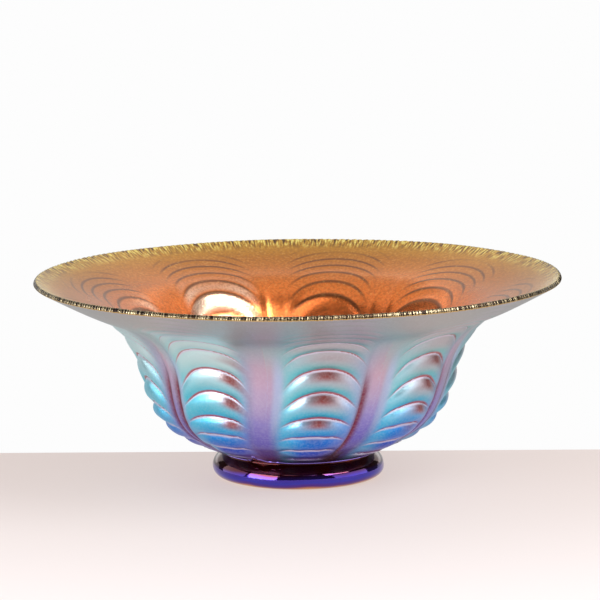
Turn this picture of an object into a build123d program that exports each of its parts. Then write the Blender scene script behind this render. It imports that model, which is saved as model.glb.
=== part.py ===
"""Blown art glass bowl with a wide everted lip, standing on a ring foot that was fused on hot.

Millimetres, +Z up.  The origin lies on the floor under the middle of the foot, and +Z is the axis
that both pieces were turned about.  Each piece is one closed solid in a node of its own:
  bowl_body  the blown vessel, with its rounded rim and the ground hollow of its pontil mark
  foot_ring  the ring of darker glass that the vessel stands on
"""
import os
from math import cos, radians, sin

from build123d import *

# Overall sizes
rim_diameter = 320.0  # across the widest point of the rounded rim
bowl_height = 124.3  # from the floor to the top of the rim

# Lip: the nearly straight flared collar, measured inwards and downwards from the rim
lip_width = 36.0
lip_drop = 18.6
lip_slope_at_rim = 28.0  # degrees above level
lip_slope_at_start = 24.0
lip_wall = 3.6
rim_wall = 2.9

# Waist: the steepest part of the wall, between the round belly and the flare
waist_radius = 98.6
waist_height = 70.0
waist_slope = 74.5
waist_wall = 4.0

# Belly: the roundest part of the wall, between the base and the waist
belly_radius = 84.0
belly_height = 35.8
belly_slope = 48.0
belly_wall = 5.0

# Base: the flat dome that spans the foot
base_height = 8.5  # underside of the vessel above the floor, on the axis
base_wall = 7.0
pontil_radius = 14.0  # ground and polished hollow where the blowing iron was cracked off
pontil_depth = 1.5

# Foot ring
foot_radius = 52.6  # widest point of the ring
foot_ring_width = 11.1  # from that widest point in to the bore of the ring
foot_neck_draw = 2.6  # how far the side draws in before it runs into the vessel
foot_neck_height = 16.9
foot_outer_round = 4.3  # rounding from the ground bearing face into the side
foot_inner_round = 2.6
foot_seat_slope = 19.0  # slope of the vessel's underside where the ring is fused on
foot_seat_wall = 6.2
fuse_overrun = 3.0  # how far the uncut ring reaches up past its seat, before it is cut to fit
foot_bore_radius = foot_radius - foot_ring_width
foot_neck_radius = foot_radius - foot_neck_draw


def heading(slope):
    """Unit vector along the wall, outwards and up, in the section plane."""
    return Vector(cos(radians(slope)), 0, sin(radians(slope)))


def inward(slope):
    """Unit vector through the wall, from its outer face to its inner face."""
    return Vector(-sin(radians(slope)), 0, cos(radians(slope)))


def wall_stations():
    """The wall from the axis to the rim: outer point, slope and thickness at each station."""
    rim_centre = Vector(rim_diameter / 2 - rim_wall / 2, 0, bowl_height - rim_wall / 2)
    rim_point = rim_centre - inward(lip_slope_at_rim) * (rim_wall / 2)
    lip_start = rim_point - Vector(lip_width, 0, lip_drop)
    return [
        (Vector(0, 0, base_height), 0.0, base_wall),
        (Vector(foot_neck_radius, 0, foot_neck_height), foot_seat_slope, foot_seat_wall),
        (Vector(belly_radius, 0, belly_height), belly_slope, belly_wall),
        (Vector(waist_radius, 0, waist_height), waist_slope, waist_wall),
        (lip_start, lip_slope_at_start, lip_wall),
        (rim_point, lip_slope_at_rim, rim_wall),
    ]


def wall_curve(depth):
    """Smooth curve along the wall: its outer face for a depth of 0, its inner face for 1."""
    points = [point + inward(slope) * (wall * depth) for point, slope, wall in wall_stations()]
    tangents = [heading(slope) for _, slope, _ in wall_stations()]
    return Spline(points, tangents=tangents)


def make_bowl_body():
    """The vessel: a section between the two wall curves, closed by a full round at the rim."""
    outer = wall_curve(0)
    inner = wall_curve(1)
    rim_middle = (outer @ 1 + inner @ 1) / 2
    rim_top = rim_middle + heading(lip_slope_at_rim) * (rim_wall / 2)
    rim_round = ThreePointArc(outer @ 1, rim_top, inner @ 1)
    axis_line = Line(inner @ 0, outer @ 0)
    section = make_face(outer + rim_round + inner + axis_line)
    vessel = revolve(section, Axis.Z)
    grinder_radius = (pontil_radius**2 + pontil_depth**2) / (2 * pontil_depth)
    grinder_drop = grinder_radius - pontil_depth
    grinder = Pos(0, 0, base_height - grinder_drop) * Sphere(grinder_radius)
    return vessel - grinder


def make_solid_vessel():
    """Everything above the vessel's outer face, used to cut the foot to its seat."""
    outer = wall_curve(0)
    top_line = Line(outer @ 1, Vector(0, 0, (outer @ 1).Z))
    axis_line = Line(Vector(0, 0, (outer @ 1).Z), outer @ 0)
    return revolve(make_face(outer + top_line + axis_line), Axis.Z)


def make_foot_ring():
    """The ring: a flat ground bearing face, rounded edges, a side that draws in to the neck."""
    top = foot_neck_height + fuse_overrun
    side_start = Vector(foot_radius, 0, foot_outer_round)
    neck = Vector(foot_neck_radius, 0, foot_neck_height)
    bearing_outer = Vector(foot_radius - foot_outer_round, 0, 0)
    bearing_inner = Vector(foot_bore_radius + foot_inner_round, 0, 0)
    bore_start = Vector(foot_bore_radius, 0, foot_inner_round)
    neck_top = Vector(foot_neck_radius, 0, top)
    bore_top = Vector(foot_bore_radius, 0, top)
    outline = [
        Line(bearing_inner, bearing_outer),
        TangentArc(bearing_outer, side_start, tangent=(1, 0, 0)),
        TangentArc(side_start, neck, tangent=(0, 0, 1)),
        Line(neck, neck_top),
        Line(neck_top, bore_top),
        Line(bore_top, bore_start),
        TangentArc(bore_start, bearing_inner, tangent=(0, 0, -1)),
    ]
    ring = revolve(make_face(outline), Axis.Z)
    return ring - make_solid_vessel()


nodes = {
    "bowl_body": make_bowl_body,
    "foot_ring": make_foot_ring,
}

os.makedirs("parts", exist_ok=True)
for name, make in nodes.items():
    piece = make()
    export_step(piece, f"parts/{name}.step")
    size = piece.bounding_box().size
    print(f"{name}: {piece.volume / 1000:.1f} cm3, {size.X:.1f} x {size.Y:.1f} x {size.Z:.1f} mm")
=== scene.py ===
"""Art glass bowl: a mould-blown, lustred vessel with nine arched panels, on a hot-applied ring foot."""
from math import cos, radians, sin

import bmesh
import bpy
import numpy as np
from mathutils import Matrix, Vector
from mathutils.geometry import interpolate_bezier


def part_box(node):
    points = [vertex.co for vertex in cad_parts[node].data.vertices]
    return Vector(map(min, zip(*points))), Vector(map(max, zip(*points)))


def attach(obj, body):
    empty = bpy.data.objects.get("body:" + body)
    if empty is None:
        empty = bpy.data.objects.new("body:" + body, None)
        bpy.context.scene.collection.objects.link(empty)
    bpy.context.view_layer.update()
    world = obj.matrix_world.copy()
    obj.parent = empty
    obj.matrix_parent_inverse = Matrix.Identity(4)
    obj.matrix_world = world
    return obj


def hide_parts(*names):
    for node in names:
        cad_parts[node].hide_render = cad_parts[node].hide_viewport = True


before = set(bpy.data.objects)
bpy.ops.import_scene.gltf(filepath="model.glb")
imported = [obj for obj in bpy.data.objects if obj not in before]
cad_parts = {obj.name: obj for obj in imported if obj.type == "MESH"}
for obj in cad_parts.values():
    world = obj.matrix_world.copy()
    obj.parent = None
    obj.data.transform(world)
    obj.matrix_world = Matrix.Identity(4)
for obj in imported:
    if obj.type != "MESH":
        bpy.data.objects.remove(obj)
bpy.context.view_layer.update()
MM = 0.001
scene = bpy.context.scene

# ----------------------------------------------------------------------------------------------
# The vessel's wall.  Glass blown into a ribbed mould, its lip spun out into a flare.  The outer
# face runs smoothly from the middle of the underside through the foot's seat, the belly and the
# waist to the rim, and the wall thins from 7 mm at the base to 3 mm at the rim.
# ----------------------------------------------------------------------------------------------
_, body_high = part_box("bowl_body")
_, foot_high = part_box("foot_ring")
rim_radius = body_high.x / MM
rim_top = body_high.z / MM
foot_radius = foot_high.x / MM
neck_draw = 2.6  # how far the foot draws in before it meets the vessel
seat_radius = foot_radius - neck_draw
seat_height = foot_high.z / MM
rim_wall = 2.9
rim_slope = 28.0
rim_outer = Vector((
    rim_radius - rim_wall / 2 * (1 - sin(radians(rim_slope))),
    rim_top - rim_wall / 2 * (1 + cos(radians(rim_slope))),
))
wall_stations = [  # radius and height of the outer face, its slope in degrees, wall thickness
    ((0.0, 8.5), 0.0, 7.0),
    ((seat_radius, seat_height), 19.0, 6.2),
    ((84.0, 35.8), 48.0, 5.0),
    ((98.6, 70.0), 74.5, 4.0),
    ((rim_outer.x - 36.0, rim_outer.y - 18.6), 24.0, 3.6),
    (tuple(rim_outer), rim_slope, rim_wall),
]
handle_share = 0.35  # a curve handle's length as a share of its span
span_samples = 160


def wall_line():
    """The outer face sampled finely from rim to centre: run from the rim, radius, height, slope, wall."""
    points, walls = [], []
    for (a, slope_a, wall_a), (b, slope_b, wall_b) in zip(wall_stations, wall_stations[1:]):
        start, end = Vector(a), Vector(b)
        reach = (end - start).length * handle_share
        lead = Vector((cos(radians(slope_a)), sin(radians(slope_a)))) * reach
        trail = Vector((cos(radians(slope_b)), sin(radians(slope_b)))) * reach
        span = interpolate_bezier(start, start + lead, end - trail, end, span_samples)
        points += [tuple(p)[:2] for p in span[:-1]]
        walls += list(np.linspace(wall_a, wall_b, span_samples)[:-1])
    points.append(wall_stations[-1][0])
    walls.append(rim_wall)
    crease_shade = np.array(points)[::-1]
    step = np.hypot(*np.diff(crease_shade, axis=0).T)
    run = np.concatenate([[0.0], np.cumsum(step)])
    slope = np.arctan2(-np.gradient(crease_shade[:, 1]), -np.gradient(crease_shade[:, 0]))
    return run, crease_shade[:, 0], crease_shade[:, 1], slope, np.array(walls)[::-1]


line_run, line_radius, line_height, line_slope, line_wall = wall_line()
full_run = line_run[-1]


def on_wall(run):
    """Radius, height, slope and wall thickness at a distance along the outer face from the rim."""
    lines = (line_radius, line_height, line_slope, line_wall)
    return [np.interp(run, line_run, values) for values in lines]


# ----------------------------------------------------------------------------------------------
# The moulded relief.  Nine panels stand round the wall, parted by smooth ribs.  Down each panel
# runs a stack of rounded lobes, parted by narrow arched creases.  The relief is crisp on the
# outside, dies away towards the lip and the base, and shows softened on the inside.
# ----------------------------------------------------------------------------------------------
panel_count = 9
panel_pitch = 360.0 / panel_count
first_panel = 9.0  # the middle of one panel, in degrees from the front towards +X
lean = -5.0  # the panels turn by this much on their way down
rib_squeeze = 1.7  # degrees by which the ribs are narrowed where the lobes swell against them
crease_runs = [20.0, 27.5, 36.0, 45.5, 55.5, 71.0, 86.5, 103.5, 118.5, 133.0, 147.5]
crease_depths = [0.15, 0.3, 0.5, 0.9, 1.7, 2.8, 3.3, 3.2, 2.8, 2.0, 0.9]
pillow = 2.6  # how far a panel falls away towards its ribs
plain_rows = 8.0  # the spacing the arches would have above the first crease, on the plain lip
# No two panels came out of the mould alike.  One row for each: how far its arches sit low, degrees
# from its middle to its left and right edges, the depth of the side crease at each, and how far
# its coppery spots of painted dark reflection stand to the right
panels = np.array([
    (0.0, 15.5, 15.6, 0.15, 1.5, 0.5),
    (-3.8, 16.0, 15.0, 0.20, 1.2, 5.0),
    (-2.0, 17.0, 15.0, 1.00, 0.3, 3.0),
    (1.0, 15.5, 17.0, 0.30, 1.2, -2.0),
    (2.5, 16.5, 16.0, 0.80, 0.2, 2.0),
    (-1.5, 17.5, 15.0, 1.10, 0.5, 4.0),
    (0.5, 15.0, 18.2, 0.20, 0.8, -1.0),
    (2.0, 18.6, 17.4, 0.40, 1.4, -15.0),
    (1.2, 17.4, 14.5, 1.50, 0.2, 7.5),
])


def ease(low, high, value):
    """0 below low, 1 above high, and smooth between."""
    share = np.clip((value - low) / (high - low), 0.0, 1.0)
    return share * share * (3.0 - 2.0 * share)


def arch_phase(run, across):
    """How many creases lie between the rim and a point; a whole number is the bottom of a crease."""
    flat = 1.0 - 0.7 * ease(84.0, 126.0, run)  # the arches flatten towards the base
    drop = (0.058 * across**2 + 0.00007 * across**4) * flat
    knots = [crease_runs[0] - 10.0 * plain_rows] + crease_runs + [230.0]
    return np.interp(run - drop, knots, [-10.0] + list(range(len(crease_runs) + 1)))


def relief(run, phase, spread, crease):
    """Height of the moulded surface over the smooth outer face; spread is 1 at a panel's edge."""
    part = np.mod(phase, 1.0)
    lobe = 1.0 - np.abs(2.0 * part**0.9 - 1.0) ** 2.1
    depth = np.interp(phase, range(len(crease_depths)), crease_depths, left=0.0, right=0.0)
    inside = 1.0 - ease(0.5, 1.0, spread)
    panel = ease(30.0, 84.0, run) * (1.0 - ease(138.0, 160.0, run))
    fall = pillow * ease(0.2, 1.1, spread) * panel
    side = crease * np.exp(-(((spread - 1.0) / 0.055) ** 2)) * panel
    return -(depth * (1.0 - lobe) * inside + fall + side)


def mould(around, run):
    """Where the mould puts a point of the plain wall: its angle, its height, its place in its panel."""
    across = np.mod(around - first_panel + panel_pitch / 2, panel_pitch) - panel_pitch / 2
    middle = around - across
    number = np.mod(np.round((middle - first_panel) / panel_pitch).astype(int), panel_count)
    low, left_edge, right_edge, left_crease, right_crease, dark_reflection_shift = panels[number].T
    across = across + rib_squeeze * np.sin(np.pi * across / (panel_pitch / 2))
    turned = middle + across + lean * ease(72.0, 150.0, run)
    spread = np.abs(across) / np.where(across < 0, left_edge, right_edge)
    crease = np.where(across < 0, left_crease, right_crease)
    phase = arch_phase(run - low, across)
    return turned, relief(run, phase, spread, crease), across, spread, crease, phase, dark_reflection_shift


# ----------------------------------------------------------------------------------------------
# The vessel's skin.  The wall's section is turned about the middle, and every point is then
# moved to its place: on the relief, in the ground pontil mark, or on the drawn-out lip, which
# was pulled and pincered by hand, so it dips to one side and its edge is full of small notches.
# ----------------------------------------------------------------------------------------------
columns = panel_count * 40
lip_rows = [0.0, 0.5, 1.3, 2.4, 3.8, 5.4, 7.4, 9.8, 12.4]
outer_rows = [*lip_rows, *np.arange(14.6, 156.0, 1.3), *np.arange(158.0, full_run, 4.0), full_run]
inner_rows = [*lip_rows, *np.arange(14.6, 150.0, 2.2), *np.arange(153.0, full_run, 5.0), full_run]
edge_steps = 5  # rows round the rim's end face
edge_bulge = 0.28  # how far the end face stands out, as a share of the rim's thickness
notch_zone = 4.5
notch_depth = 1.0
notch_pitch = 1.62  # degrees
lip_dip = 0.0065  # the lip's fall towards -X, per unit of width
inner_share = 0.62  # how much of the outer relief shows on the inner face
pontil_radius = 14.0
pontil_depth = 1.5


def section_points():
    """The section from the underside's centre, round the rim, to the floor's centre: x, z, run, side."""
    points = []
    for run in reversed(outer_rows):
        radius, height, _, _ = on_wall(run)
        points.append((radius, height, run, 0.0))
    radius, height, slope, wall = on_wall(0.0)
    middle = Vector((radius - sin(slope) * wall / 2, height + cos(slope) * wall / 2))
    for step in range(1, edge_steps):
        turn = np.pi * (step / edge_steps - 0.5)
        outward = Vector((cos(slope), sin(slope))) * cos(turn) ** 0.5 * edge_bulge * wall
        upward = Vector((-sin(slope), cos(slope))) * sin(turn) * wall / 2
        spot = middle + outward + upward
        points.append((spot.x, spot.y, 0.0, step / edge_steps))
    for run in inner_rows:
        radius, height, slope, wall = on_wall(run)
        inset = radius - sin(slope) * wall if run < full_run else 0.0
        points.append((inset, height + cos(slope) * wall, run, 1.0))
    return points


def spin_section(points, steps):
    """Turns a section about +Z into a closed mesh that carries each row's run and side."""
    bm = bmesh.new()
    run_layer = bm.verts.layers.float.new("wall_run")
    side_layer = bm.verts.layers.float.new("wall_side")
    row = []
    for x, z, run, side in points:
        vert = bm.verts.new((0.0, -x * MM, z * MM))
        vert[run_layer] = run
        vert[side_layer] = side
        row.append(vert)
    profile = row + [bm.edges.new(pair) for pair in zip(row, row[1:])]
    whole = radians(360)
    bmesh.ops.spin(
        bm, geom=profile, cent=(0, 0, 0), axis=(0, 0, 1), angle=whole, steps=steps, use_merge=True
    )
    bmesh.ops.remove_doubles(bm, verts=bm.verts, dist=1e-7)
    bmesh.ops.recalc_face_normals(bm, faces=bm.faces)
    return bm, run_layer, side_layer


vessel_bm, run_layer, side_layer = spin_section(section_points(), columns)
# the notches are finer than a column, so the rings near the rim are each cut in three
ring_edges = [
    edge for edge in vessel_bm.edges
    if all(vert[run_layer] < notch_zone for vert in edge.verts)
    and abs(edge.verts[0].co.z - edge.verts[1].co.z) < 1e-6
    and abs(edge.verts[0][run_layer] - edge.verts[1][run_layer]) < 1e-3
    and abs(edge.verts[0][side_layer] - edge.verts[1][side_layer]) < 1e-3
]
bmesh.ops.subdivide_edges(vessel_bm, edges=ring_edges, cuts=2, use_grid_fill=True)
for face in vessel_bm.faces:
    sides = [vert[side_layer] for vert in face.verts]
    face.smooth = True
    face.material_index = 0 if max(sides) < 0.1 else 1 if min(sides) > 0.9 else 2
vessel_mesh = bpy.data.meshes.new("bowl_body_blown")
vessel_bm.to_mesh(vessel_mesh)
vessel_bm.free()


def read(mesh, name):
    values = np.zeros(len(mesh.vertices))
    mesh.attributes[name].data.foreach_get("value", values)
    return values


def write(mesh, name, values):
    layer = mesh.attributes.get(name) or mesh.attributes.new(name, "FLOAT", "POINT")
    layer.data.foreach_set("value", np.asarray(values, np.float32))


def read_places(mesh):
    """Every point's radius, angle from the front in degrees, and height, in millimetres."""
    place = np.zeros(len(mesh.vertices) * 3)
    mesh.vertices.foreach_get("co", place)
    x, y, z = (place.reshape(-1, 3) / MM).T
    return np.hypot(x, y), np.degrees(np.arctan2(x, -y)), z


def write_places(mesh, radius, turn, height):
    place = np.stack([radius * np.sin(turn), -radius * np.cos(turn), height], axis=-1) * MM
    mesh.vertices.foreach_set("co", place.astype(np.float32).ravel())
    mesh.update()


def shape_vessel(mesh):
    """Moves every point of the plain turned vessel to its place on the moulded, hand-finished one."""
    radius, around, z = read_places(mesh)
    run, side = read(mesh, "wall_run"), read(mesh, "wall_side")
    _, _, slope, _ = on_wall(run)
    turned, height, across, spread, crease, phase, dark_reflection_shift = mould(around, run)
    turn = np.radians(turned)
    height = height * np.where(side > 0.5, inner_share, 1.0)
    # the lip: its dip, its slow waves and its notches, each a bite with one steep side
    lip = 1.0 - ease(0.0, 110.0, run)
    dip = lip_dip * (radius * np.sin(turn) - rim_radius) * lip
    wave = (0.12 * np.sin(3 * turn + 0.7) + 0.10 * np.sin(8 * turn) - 0.22) * lip
    uneven = 0.6 * np.sin(5 * turn) + 0.4 * np.sin(13 * turn)
    tooth = np.mod(np.degrees(turn) / notch_pitch + uneven, 1.0)
    strength = 0.55 + 0.45 * np.sin(2 * turn + 2.2) * np.sin(7 * turn + 0.5)
    bite = notch_depth * tooth**2 * strength * (1.0 - ease(0.0, notch_zone, run))
    # the pontil mark, ground and polished into a shallow dish
    dish = pontil_depth * np.clip(1.0 - (radius / pontil_radius) ** 2, 0.0, 1.0) * (side < 0.5)
    z = z - height * np.cos(slope) + dip + wave - bite * np.sin(slope) + dish
    radius = radius + height * np.sin(slope) - bite * np.cos(slope)
    write_places(mesh, radius, turn, z)
    write(mesh, "arch_phase", phase)
    write(mesh, "rib_share", ease(0.74, 1.2, spread) * ease(34.0, 84.0, run))
    write(mesh, "arch_share", 1.0 - ease(0.58, 0.95, spread))
    write(mesh, "flank", across / (panel_pitch / 2))
    # a mask for the painted shade in the side creases
    cut = crease / panels[:, 3:5].max() * ease(70.0, 90.0, run) * (1.0 - ease(140.0, 158.0, run))
    write(mesh, "side_crease_shade", cut * np.exp(-(((spread - 1.0) / 0.085) ** 2)))
    # where the painted dark reflection sits across each panel
    write(mesh, "dark_reflection_share", np.exp(-(((across - dark_reflection_shift) / 5.2) ** 2)))


shape_vessel(vessel_mesh)
vessel = bpy.data.objects.new("bowl_body_blown", vessel_mesh)
scene.collection.objects.link(vessel)


def put(tree, kind, inputs=None, **settings):
    """A shader node with its settings, and its inputs given as values or as other nodes' outputs."""
    made = tree.nodes.new(kind)
    for name, value in settings.items():
        setattr(made, name, value)
    for name, value in (inputs or {}).items():
        if isinstance(value, bpy.types.NodeSocket):
            tree.links.new(value, made.inputs[name])
        else:
            made.inputs[name].default_value = value
    return made


def maths(tree, operation, *values):
    return put(tree, "ShaderNodeMath", dict(enumerate(values)), operation=operation).outputs[0]


def times(tree, *values):
    """The product of several masks."""
    product = values[0]
    for value in values[1:]:
        product = maths(tree, "MULTIPLY", product, value)
    return product


def colour(*screen):
    """A colour given as it looks on a screen, 0 to 255, as the linear colour a shader takes."""
    linear = [((c / 255 + 0.055) / 1.055) ** 2.4 if c > 10 else c / 255 / 12.92 for c in screen]
    return (*linear, 1.0)


def ramp(tree, factor, stops, reach):
    """A colour ramp over 0 to reach, from (place, colour) stops."""
    made = put(tree, "ShaderNodeValToRGB", {"Fac": maths(tree, "DIVIDE", factor, reach)})
    band = made.color_ramp.elements
    for element, (place, value) in zip(band, (stops[0], stops[-1])):
        element.position = place / reach
        element.color = colour(*value)
    for place, value in stops[1:-1]:
        band.new(place / reach).color = colour(*value)
    return made.outputs["Color"]


def rise(tree, value, low, high, amount=1.0):
    """A mask that climbs smoothly from 0 at low to amount at high; low may be the greater."""
    limits = {"Value": value, "From Min": low, "From Max": high, "To Max": amount}
    return put(tree, "ShaderNodeMapRange", limits, interpolation_type="SMOOTHSTEP").outputs[0]


def blend(tree, factor, under, over):
    mixer = put(tree, "ShaderNodeMix", data_type="RGBA")
    for index, value in ((0, factor), (6, under), (7, over)):
        if isinstance(value, bpy.types.NodeSocket):
            tree.links.new(value, mixer.inputs[index])
        else:
            mixer.inputs[index].default_value = value
    return mixer.outputs[2]


def start_material(name):
    material = bpy.data.materials.new(name)
    material.use_nodes = True
    tree = material.node_tree
    return material, tree, tree.nodes["Principled BSDF"]


def trait(tree, name):
    return put(tree, "ShaderNodeAttribute", attribute_name=name).outputs["Fac"]


def whereabouts(tree):
    """The point's own X, Y and Z on the object."""
    own = put(tree, "ShaderNodeTexCoord").outputs["Object"]
    return put(tree, "ShaderNodeSeparateXYZ", {0: own}).outputs


def start_group(name, inputs, outputs):
    """An empty shader group with number sockets, its input node and its output node."""
    group = bpy.data.node_groups.new(name, "ShaderNodeTree")
    for label in inputs:
        group.interface.new_socket(label, in_out="INPUT", socket_type="NodeSocketFloat")
    for label in outputs:
        group.interface.new_socket(label, in_out="OUTPUT", socket_type="NodeSocketFloat")
    return group, group.nodes.new("NodeGroupInput"), group.nodes.new("NodeGroupOutput")


def make_stipple():
    """Film crackled into grains by the heat: Speckle is the grain, Drift a slow unevenness; 0 to 1."""
    group, given, result = start_group("film_stipple", ["Grains per metre"], ["Speckle", "Drift"])
    place = put(group, "ShaderNodeTexCoord").outputs["Object"]
    grain = put(group, "ShaderNodeTexNoise", {"Vector": place, "Scale": given.outputs[0], "Detail": 2.0})
    drift = put(group, "ShaderNodeTexNoise", {"Vector": place, "Scale": 20.0, "Detail": 3.0})
    group.links.new(grain.outputs["Fac"], result.inputs["Speckle"])
    group.links.new(drift.outputs["Fac"], result.inputs["Drift"])
    return group


def make_streaks():
    """Radial streaks, as the film cracks where hot glass is pulled outwards; 0 to 1."""
    group, given, result = start_group("pulled_streaks", ["Streaks per turn", "Length"], ["Streak"])
    place = whereabouts(group)
    away = maths(group, "MULTIPLY", place["Y"], -1.0)
    turns = maths(group, "DIVIDE", maths(group, "ARCTAN2", place["X"], away), 2 * np.pi)
    flat = put(group, "ShaderNodeCombineXYZ", {"X": place["X"], "Y": place["Y"]})
    radius = put(group, "ShaderNodeVectorMath", {0: flat.outputs[0]}, operation="LENGTH").outputs["Value"]
    round_rim = maths(group, "MULTIPLY", turns, given.outputs[0])
    down_wall = maths(group, "DIVIDE", radius, given.outputs[1])
    spot = put(group, "ShaderNodeCombineXYZ", {"X": round_rim, "Y": down_wall})
    noise = put(group, "ShaderNodeTexNoise", {"Vector": spot.outputs[0], "Scale": 1.0, "Detail": 1.0})
    group.links.new(noise.outputs["Fac"], result.inputs["Streak"])
    return group


film_stipple = make_stipple()
pulled_streaks = make_streaks()


def stipple(tree, grains):
    made = put(tree, "ShaderNodeGroup", node_tree=film_stipple)
    made.inputs[0].default_value = grains
    return made.outputs["Speckle"], made.outputs["Drift"]


def streaks(tree, count, length):
    made = put(tree, "ShaderNodeGroup", node_tree=pulled_streaks)
    made.inputs[0].default_value = count
    made.inputs[1].default_value = length
    return made.outputs["Streak"]


def bump(tree, shader, height, distance):
    made = put(tree, "ShaderNodeBump", {"Height": height, "Distance": distance, "Strength": 1.0})
    tree.links.new(made.outputs["Normal"], shader.inputs["Normal"])


# ----------------------------------------------------------------------------------------------
# The outer lustre.  A metal-oxide film, fumed onto the hot glass: silver-lavender on the lip,
# turquoise on the lobes, azure and violet towards the base, pink on the ribs, rose in the
# creases with a painted highlight, a narrow light band, under each, and coppery maroon at the
# top of a lobe, a painted dark reflection where the amber glass shows.  Painted reflections of
# the soft boxes and the room colour the panels' flanks and middles and the bowl's left side;
# painted highlights run along the ribs' edges, and painted shade lies in the side creases.
# ----------------------------------------------------------------------------------------------
ramp_run = 216.0  # the run, in millimetres, that the colour ramps reach to


def make_outer_lustre():
    material, tree, shader = start_material("outer_lustre")
    run = trait(tree, "wall_run")
    arches = trait(tree, "arch_share")
    flank = trait(tree, "flank")
    part = maths(tree, "FRACT", trait(tree, "arch_phase"))  # 0 to 1 down each lobe
    across = whereabouts(tree)["X"]
    speckle, drift = stipple(tree, 700.0)
    shift = maths(tree, "ADD", run, rise(tree, drift, 0.2, 0.8, 14.0))
    shift = maths(tree, "SUBTRACT", shift, 7.0)
    crown = ramp(tree, shift, [
        (0, (174, 172, 170)), (22, (190, 174, 174)), (40, (190, 178, 180)), (58, (184, 188, 194)),
        (90, (176, 194, 210)), (104, (140, 192, 230)), (116, (34, 146, 228)), (130, (20, 88, 204)),
        (148, (68, 52, 168)), (166, (50, 24, 84)), (205, (36, 10, 36)),
    ], ramp_run)
    low = ramp(tree, shift, [
        (0, (170, 172, 170)), (26, (156, 178, 176)), (48, (138, 186, 186)), (72, (122, 198, 202)),
        (92, (82, 196, 214)), (106, (14, 172, 222)), (118, (0, 136, 226)), (132, (8, 90, 214)),
        (148, (70, 60, 180)), (166, (50, 24, 84)), (205, (36, 10, 36)),
    ], ramp_run)
    rib = ramp(tree, shift, [
        (0, (176, 173, 172)), (34, (184, 176, 178)), (52, (194, 176, 184)), (70, (204, 170, 190)),
        (90, (182, 164, 200)), (106, (148, 138, 206)), (124, (108, 98, 196)), (142, (86, 60, 158)),
        (166, (50, 24, 84)), (205, (36, 10, 36)),
    ], ramp_run)
    crease = ramp(tree, shift, [
        (0, (176, 168, 166)), (34, (198, 158, 154)), (60, (196, 120, 124)), (100, (170, 84, 104)),
        (122, (170, 100, 146)), (150, (110, 56, 120)), (205, (50, 16, 40)),
    ], ramp_run)
    # the lobes go from crown to low edge; on ribs and lip the two run together
    swing = maths(tree, "SUBTRACT", rise(tree, part, 0.25, 0.80), 0.5)
    swing = times(tree, swing, arches, rise(tree, run, 14.0, 40.0))
    surface = blend(tree, maths(tree, "ADD", swing, 0.5), crown, low)
    # painted reflections by the way the lobes face: silver of the room down the middle of a panel, violet
    # of the right soft box on its right, bright cyan of the left soft box on its left
    centre = maths(tree, "ABSOLUTE", maths(tree, "SUBTRACT", flank, 0.12))
    middle_reflection = times(tree, rise(tree, centre, 0.5, 0.05), rise(tree, part, 0.85, 0.5))
    middle_reflection = times(tree, middle_reflection, rise(tree, run, 112.0, 92.0, 0.6))
    surface = blend(tree, middle_reflection, surface, colour(188, 182, 190))
    belly = times(tree, rise(tree, run, 40.0, 76.0), rise(tree, run, 168.0, 150.0))
    right_flank_reflection = times(tree, rise(tree, flank, 0.2, 0.8, 0.5), belly)
    left_flank_reflection = times(tree, rise(tree, flank, -0.1, -0.6, 0.4), belly)
    surface = blend(tree, right_flank_reflection, surface, colour(154, 154, 214))
    surface = blend(tree, left_flank_reflection, surface, colour(110, 222, 234))
    # painted reflection of the left soft box: whitish cyan over the lobes on the bowl's left side
    left_side_reflection = times(tree, rise(tree, across, -0.01, -0.05), rise(tree, run, 24.0, 44.0, 0.72))
    left_side_reflection = times(tree, left_side_reflection, arches, rise(tree, run, 134.0, 98.0))
    left_side_reflection_colour = blend(tree, rise(tree, run, 66.0, 96.0), colour(204, 242, 244), colour(84, 206, 230))
    surface = blend(tree, left_side_reflection, surface, left_side_reflection_colour)
    # painted dark reflection, coppery maroon, at the top of a lobe where the amber glass shows, under a
    # painted highlight, a narrow light band; rose at its foot, in the crease
    moulded = times(tree, arches, rise(tree, run, 18.0, 50.0), rise(tree, run, 158.0, 142.0))
    dark_reflection = times(tree, rise(tree, part, 0.03, 0.08), rise(tree, part, 0.54, 0.24))
    dark_reflection = times(tree, dark_reflection, trait(tree, "dark_reflection_share"))
    dark_reflection = times(tree, dark_reflection, rise(tree, run, 54.0, 74.0), rise(tree, run, 126.0, 108.0, 0.95))
    surface = blend(tree, dark_reflection, surface, colour(134, 48, 40))
    crease_highlight = times(tree, rise(tree, part, 0.10, 0.02), moulded)
    surface = blend(tree, maths(tree, "MULTIPLY", crease_highlight, 0.85), surface, colour(226, 216, 238))
    rose = times(tree, rise(tree, part, 0.86, 0.95), moulded, rise(tree, run, 22.0, 72.0))
    surface = blend(tree, rose, surface, crease)
    # the ribs, a painted highlight of the left soft box along each one's right edge, and painted shade in
    # the side creases
    surface = blend(tree, trait(tree, "rib_share"), surface, rib)
    rib_edge_highlight = times(tree, rise(tree, flank, -0.64, -0.78), rise(tree, flank, -0.92, -0.80))
    rib_edge_highlight = times(tree, rib_edge_highlight, rise(tree, run, 56.0, 80.0, 0.6))
    rib_edge_highlight = times(tree, rib_edge_highlight, rise(tree, run, 128.0, 96.0))
    surface = blend(tree, rib_edge_highlight, surface, colour(186, 204, 244))
    surface = blend(tree, trait(tree, "side_crease_shade"), surface, colour(124, 34, 54))
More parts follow.
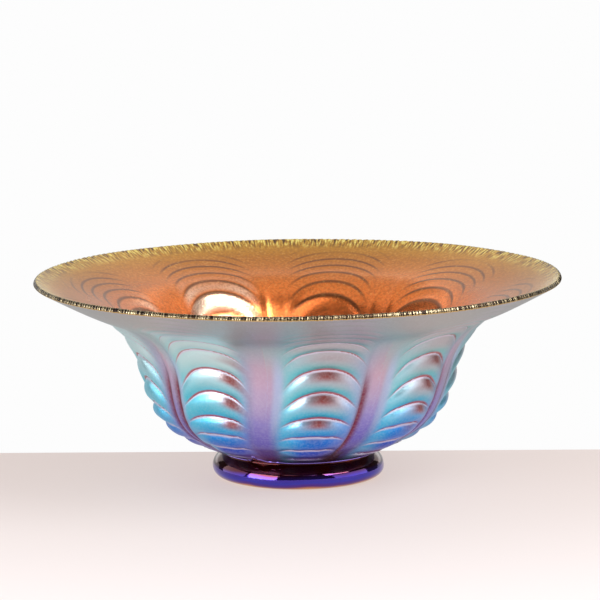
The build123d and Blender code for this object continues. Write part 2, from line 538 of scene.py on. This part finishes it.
    # darker maroon on the right half of each panel near the base, on the bowl's right side
    base_right_maroon = times(tree, rise(tree, run, 134.0, 150.0), rise(tree, flank, 0.25, 0.65, 0.85))
    base_right_maroon = times(tree, base_right_maroon, rise(tree, across, -0.01, 0.01))
    surface = blend(tree, base_right_maroon, surface, colour(70, 8, 20))
    surface = blend(tree, rise(tree, speckle, 0.35, 0.75, 0.10), surface, colour(230, 236, 240))
    tree.links.new(surface, shader.inputs["Base Color"])
    rough = maths(tree, "ADD", rise(tree, drift, 0.2, 0.8, 0.08), 0.29)
    tree.links.new(rough, shader.inputs["Roughness"])
    metal = maths(tree, "SUBTRACT", 0.9, maths(tree, "MULTIPLY", dark_reflection, 0.5))
    tree.links.new(metal, shader.inputs["Metallic"])
    bump(tree, shader, speckle, 0.00006)
    return material


# ----------------------------------------------------------------------------------------------
# The inner lustre.  A gold film over the same relief: olive gold on the lip, where the pull has
# cracked it into streaks and a fine stipple, painted shade in dark brown along the narrow creases,
# a painted creamy highlight on one panel at the back, and deepening to orange down in the bowl.
# ----------------------------------------------------------------------------------------------
def make_inner_lustre():
    material, tree, shader = start_material("inner_lustre")
    run = trait(tree, "wall_run")
    arches = trait(tree, "arch_share")
    part = maths(tree, "FRACT", trait(tree, "arch_phase"))
    speckle, drift = stipple(tree, 620.0)
    gold = ramp(tree, run, [
        (0, (194, 150, 44)), (8, (194, 138, 38)), (20, (190, 118, 30)), (40, (208, 116, 36)),
        (58, (240, 124, 48)), (84, (250, 118, 52)), (120, (236, 92, 40)), (205, (180, 62, 30)),
    ], ramp_run)
    # painted highlight: a creamy reflection of the high right soft box on the lobes of one panel at the
    # back
    place = whereabouts(tree)
    left = rise(tree, place["X"], -0.125, -0.075)
    right = rise(tree, place["X"], 0.0, -0.045)
    cream_highlight = times(tree, left, right, rise(tree, place["Y"], 0.0, 0.05), rise(tree, run, 38.0, 62.0))
    cream_highlight = times(tree, cream_highlight, arches, rise(tree, part, 0.98, 0.45, 0.85))
    gold = blend(tree, cream_highlight, gold, colour(248, 222, 196))
    # painted shade, dark brown, in the creases, and streaks and stipple over all
    near = maths(tree, "MINIMUM", part, maths(tree, "SUBTRACT", 1.0, part))
    crease_shade = times(tree, rise(tree, near, 0.20, 0.03), arches, rise(tree, run, 10.0, 24.0, 0.85))
    crease_shade = times(tree, crease_shade, rise(tree, run, 150.0, 60.0))
    surface = blend(tree, crease_shade, gold, colour(104, 56, 24))
    streak = streaks(tree, 700.0, 0.007)
    pulled = rise(tree, run, 12.0, 2.0)
    bright = times(tree, rise(tree, streak, 0.52, 0.62), pulled)
    dark = times(tree, rise(tree, streak, 0.47, 0.37), pulled)
    surface = blend(tree, bright, surface, colour(246, 226, 120))
    surface = blend(tree, dark, surface, colour(78, 50, 16))
    surface = blend(tree, rise(tree, speckle, 0.52, 0.38, 0.35), surface, colour(150, 96, 44))
    surface = blend(tree, rise(tree, speckle, 0.56, 0.70, 0.2), surface, colour(236, 196, 120))
    tree.links.new(surface, shader.inputs["Base Color"])
    rough = maths(tree, "ADD", rise(tree, drift, 0.2, 0.8, 0.10), rise(tree, run, 60.0, 0.0, 0.12))
    tree.links.new(maths(tree, "ADD", rough, 0.2), shader.inputs["Roughness"])
    shader.inputs["Metallic"].default_value = 0.9
    shader.inputs["Coat Weight"].default_value = 0.5
    shader.inputs["Coat Roughness"].default_value = 0.28
    bump(tree, shader, maths(tree, "ADD", speckle, times(tree, streak, pulled)), 0.00007)
    return material


# ----------------------------------------------------------------------------------------------
# The rim's end face.  Here the film is torn by the pull into close dark and cream striations,
# with a thread of gold along the lower edge.
# ----------------------------------------------------------------------------------------------
def make_rim_edge():
    material, tree, shader = start_material("rim_edge_lustre")
    side = trait(tree, "wall_side")
    streak = streaks(tree, 1500.0, 0.05)
    speckle, drift = stipple(tree, 900.0)
    striation = rise(tree, streak, 0.50, 0.60)
    surface = blend(tree, striation, colour(30, 17, 10), colour(196, 178, 140))
    surface = blend(tree, rise(tree, drift, 0.42, 0.62, 0.55), surface, colour(60, 42, 24))
    surface = blend(tree, rise(tree, side, 0.26, 0.10, 0.9), surface, colour(214, 176, 104))
    surface = blend(tree, rise(tree, side, 0.80, 0.97, 0.8), surface, colour(204, 180, 92))
    tree.links.new(surface, shader.inputs["Base Color"])
    rough = maths(tree, "ADD", rise(tree, speckle, 0.3, 0.7, 0.2), 0.15)
    tree.links.new(rough, shader.inputs["Roughness"])
    shader.inputs["Metallic"].default_value = 0.8
    bump(tree, shader, streak, 0.0005)
    return material


for make in (make_outer_lustre, make_inner_lustre, make_rim_edge):
    vessel.data.materials.append(make())
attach(vessel, "root")
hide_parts("bowl_body")

# ----------------------------------------------------------------------------------------------
# The foot.  A gather of dark glass, laid hot round the base as a ring and ground flat where it
# stands.  It laps a little way up the bowl, with a torn edge, one wide tongue and one drawn
# thread.  Its colours by height are painted reflection: a warm tan and its violet film on the lower
# rounding, mirroring the bright table, and dark glass above, mirroring the dark room; a painted
# highlight runs along the lap's edge.
# ----------------------------------------------------------------------------------------------
ring_width = 11.1
foot_bore = foot_radius - ring_width
outer_round = 6.4
inner_round = 2.6
neck_radius = seat_radius - 3.4  # the shoulder is rounder than the seat it stands on
neck_run = float(np.interp(-neck_radius, -line_radius, line_run))
neck_height = float(np.interp(-neck_radius, -line_radius, line_height))
lap_rows = (0.2, 0.4, 0.6, 0.8, 0.92, 1.0)  # shares of the way up the lap
lap_width = 1.6
lap_thickness = 0.7
lap_sink = 0.1  # how far the lap's edge lies under the vessel's skin
tongue_length = 6.5  # left of the front
thread_angle = -27.0
thread_length = 9.0
side_shrink = 0.28  # keeps the uneven side inside its true circle


def arc(centre, radius, start, end, steps):
    """Points on a circle from one angle to another, in degrees."""
    angles = np.radians(np.linspace(start, end, steps))
    return [(centre[0] + radius * np.cos(a), centre[1] + radius * np.sin(a)) for a in angles]


def foot_section():
    """The ring's closed section; the points marked above 0 are the lap on the bowl's underside."""
    outline = arc((foot_bore + inner_round, inner_round), inner_round, 180, 270, 6)
    outline += arc((foot_radius - outer_round, outer_round), outer_round, -90, 0, 9)
    start, end = Vector(outline[-1]), Vector((neck_radius, neck_height - 0.5))
    side = interpolate_bezier(start, start + Vector((0.0, 4.0)), end + Vector((2.6, -2.0)), end, 12)
    outline += [tuple(p)[:2] for p in side[1:]]
    points = [(x, z, 0.0, 0.0) for x, z in outline]
    points += [(neck_radius, neck_height + 0.1 * share, 0.0, share) for share in lap_rows]
    points += [(neck_radius - 2.0, neck_height + 0.8, 0.0, 0.0), (foot_bore, neck_height - 1.0, 0.0, 0.0)]
    points.append((foot_bore, inner_round, 0.0, 0.0))
    return points


def shape_foot(mesh):
    """Draws the lap's points up the bowl's underside, and makes the ring a little uneven."""
    radius, around, z = read_places(mesh)
    lap = read(mesh, "wall_side")
    turn = np.radians(around)
    tongue = tongue_length * ease(-41.0, -33.0, around) * (1.0 - ease(-29.0, -3.0, around))
    thread = thread_length * np.exp(-np.abs(around - thread_angle) / 1.6)
    ragged = 0.25 * np.sin(23 * turn) + 0.15 * np.sin(61 * turn + 2.0)
    width = lap_width + 0.4 * np.sin(3 * turn + 1.0) + tongue * (1.0 + ragged) + thread
    run = neck_run - width * lap
    plain_radius, plain_height, slope, _ = on_wall(run)
    _, height, *_ = mould(around - lean, run)
    proud = height + lap_thickness * np.sqrt(np.clip(1.0 - lap**4, 0.0, 1.0)) - lap_sink
    on_lap = lap > 0
    radius = np.where(on_lap, plain_radius + proud * np.sin(slope), radius)
    z = np.where(on_lap, plain_height - proud * np.cos(slope), z)
    uneven = 0.18 * np.sin(3 * turn + 0.6) + 0.1 * np.sin(7 * turn)
    side = ease(3.0, 8.0, z) * (1.0 - ease(13.0, 16.0, z)) * (radius > foot_bore + 2.0)
    write_places(mesh, radius + (uneven - side_shrink) * side, turn, z)
    write(mesh, "lap_share", lap)


foot_points = foot_section()
foot_bm, _, _ = spin_section(foot_points + foot_points[:1], 360)
for face in foot_bm.faces:
    face.smooth = True
foot_mesh = bpy.data.meshes.new("foot_ring_gather")
foot_bm.to_mesh(foot_mesh)
foot_bm.free()
shape_foot(foot_mesh)
foot = bpy.data.objects.new("foot_ring_gather", foot_mesh)
scene.collection.objects.link(foot)


def make_foot_glass():
    material, tree, shader = start_material("foot_lustre")
    height = whereabouts(tree)["Z"]
    speckle, drift = stipple(tree, 500.0)
    level = maths(tree, "SUBTRACT", height, rise(tree, drift, 0.25, 0.75, 0.0024))
    level = maths(tree, "ADD", level, 0.001)
    # painted reflection by height: warm tan where the lowest rounding mirrors the bright table, the
    # violet film above it mirroring the table too, and dark maroon glass higher up, where the dark room
    # is mirrored
    surface = ramp(tree, level, [
        (0.0, (226, 176, 112)), (0.0012, (186, 120, 100)), (0.0022, (96, 44, 132)),
        (0.0044, (62, 60, 182)), (0.0070, (64, 44, 150)), (0.0092, (70, 12, 36)),
        (0.0108, (66, 6, 8)), (0.0160, (62, 5, 8)), (0.0210, (60, 22, 70)),
    ], 0.024)
    # painted highlight, light violet, along the lap's edge
    lap_edge_highlight = rise(tree, trait(tree, "lap_share"), 0.72, 0.94, 0.95)
    surface = blend(tree, lap_edge_highlight, surface, colour(160, 136, 240))
    amber = times(tree, rise(tree, drift, 0.60, 0.72), rise(tree, height, 0.004, 0.010, 0.7))
    surface = blend(tree, amber, surface, colour(150, 60, 14))
    tree.links.new(surface, shader.inputs["Base Color"])
    rough = maths(tree, "ADD", rise(tree, speckle, 0.2, 0.8, 0.05), 0.03)
    tree.links.new(rough, shader.inputs["Roughness"])
    shader.inputs["Metallic"].default_value = 0.92
    shader.inputs["Coat Weight"].default_value = 0.35
    shader.inputs["Coat Roughness"].default_value = 0.02
    bump(tree, shader, speckle, 0.00004)
    return material


foot.data.materials.append(make_foot_glass())
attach(foot, "root")
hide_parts("foot_ring")

# ----------------------------------------------------------------------------------------------
# The studio.  A pale board against white paper, with soft boxes left, right, above and behind.
# The board glows a little, so that the bowl's shadow on it stays faint.
# ----------------------------------------------------------------------------------------------
table_low = Vector((-1.2, -0.72, -0.2 * MM))
table_high = Vector((1.2, 0.068, -0.2 * MM))


def make_table():
    bm = bmesh.new()
    bmesh.ops.create_grid(bm, x_segments=1, y_segments=1, size=0.5)
    span = table_high - table_low
    bmesh.ops.scale(bm, verts=bm.verts, vec=(span.x, span.y, 1.0))
    bmesh.ops.translate(bm, verts=bm.verts, vec=(table_low + table_high) / 2)
    mesh = bpy.data.meshes.new("studio_table")
    bm.to_mesh(mesh)
    bm.free()
    sheet = bpy.data.objects.new("studio_table", mesh)
    scene.collection.objects.link(sheet)
    material, tree, shader = start_material("table_paint")
    # painted light: the board grows lighter towards the front
    near = rise(tree, whereabouts(tree)["Y"], 0.07, -0.45)
    paint = blend(tree, near, colour(100, 96, 95), colour(112, 108, 108))
    glow = blend(tree, near, colour(200, 186, 181), colour(226, 218, 217))
    tree.links.new(paint, shader.inputs["Base Color"])
    tree.links.new(glow, shader.inputs["Emission Color"])
    shader.inputs["Emission Strength"].default_value = 1.0
    shader.inputs["Roughness"].default_value = 0.7
    mesh.materials.append(material)


make_table()

world = bpy.data.worlds.new("studio_air")
scene.world = world
world.use_nodes = True
air = world.node_tree
air.nodes.clear()
path = put(air, "ShaderNodeLightPath")
seen = put(air, "ShaderNodeBackground", {"Color": colour(253, 253, 253), "Strength": 1.0})
felt = put(air, "ShaderNodeBackground", {"Color": (0.05, 0.05, 0.05, 1.0), "Strength": 1.0})
sides = {0: path.outputs["Is Camera Ray"], 1: felt.outputs[0], 2: seen.outputs[0]}
choice = put(air, "ShaderNodeMixShader", sides)
put(air, "ShaderNodeOutputWorld", {"Surface": choice.outputs[0]})


def soft_box(name, width, height, place, radiance, aim=(0.0, 0.0, 0.06)):
    """A rectangular soft box that faces the bowl and isn't seen by the camera itself."""
    light = bpy.data.lights.new(name, "AREA")
    light.shape = "RECTANGLE"
    light.size, light.size_y = width, height
    light.energy = radiance * np.pi * width * height
    box = bpy.data.objects.new(name, light)
    box.location = place
    box.rotation_euler = (Vector(aim) - Vector(place)).to_track_quat("-Z", "Y").to_euler()
    box.visible_camera = False
    scene.collection.objects.link(box)


def polar(azimuth, elevation, distance):
    """A point round the bowl: azimuth from the front towards +X, elevation above the table."""
    a, e = radians(azimuth), radians(elevation)
    return (distance * sin(a) * cos(e), -distance * cos(a) * cos(e), distance * sin(e))


soft_box("box_left", 1.0, 0.95, polar(-50, 11, 1.4), 9.0)
soft_box("box_left_side", 1.2, 0.9, polar(-98, 12, 1.5), 1.6)
soft_box("box_right", 1.4, 0.8, polar(76, 9, 1.4), 1.7)
soft_box("box_right_high", 0.9, 0.8, polar(58, 44, 1.5), 12.0)
soft_box("box_front_high", 1.4, 0.6, polar(0, 46, 2.0), 1.8)
soft_box("box_above", 3.6, 1.8, (0.0, 0.5, 1.45), 0.7)
soft_box("box_behind", 3.2, 1.7, (0.0, 1.9, 0.9), 0.65)
soft_box("card_low", 2.4, 1.2, (0.0, 0.95, -0.3), 0.5, (0.0, 0.0, 0.1))

# ----------------------------------------------------------------------------------------------
# The camera.  A long lens, two metres away and a little above the rim, turned by a hair so
# that the table's edge falls slightly to one side.
# ----------------------------------------------------------------------------------------------
camera_data = bpy.data.cameras.new("camera")
camera_data.sensor_width = 36.0
camera_data.lens = 194.3
camera_data.clip_end = 20.0
camera = bpy.data.objects.new("camera", camera_data)
camera.location = (0.0, -1.940, 0.413)
camera_aim = Vector((0.00145, 0.0, 0.1073))
camera_roll = radians(0.33)
gaze = (camera_aim - camera.location).to_track_quat("-Z", "Y").to_matrix()
camera.rotation_euler = (gaze @ Matrix.Rotation(-camera_roll, 3, "Z")).to_euler()
scene.collection.objects.link(camera)
scene.camera = camera
scene.view_settings.view_transform = "Standard"
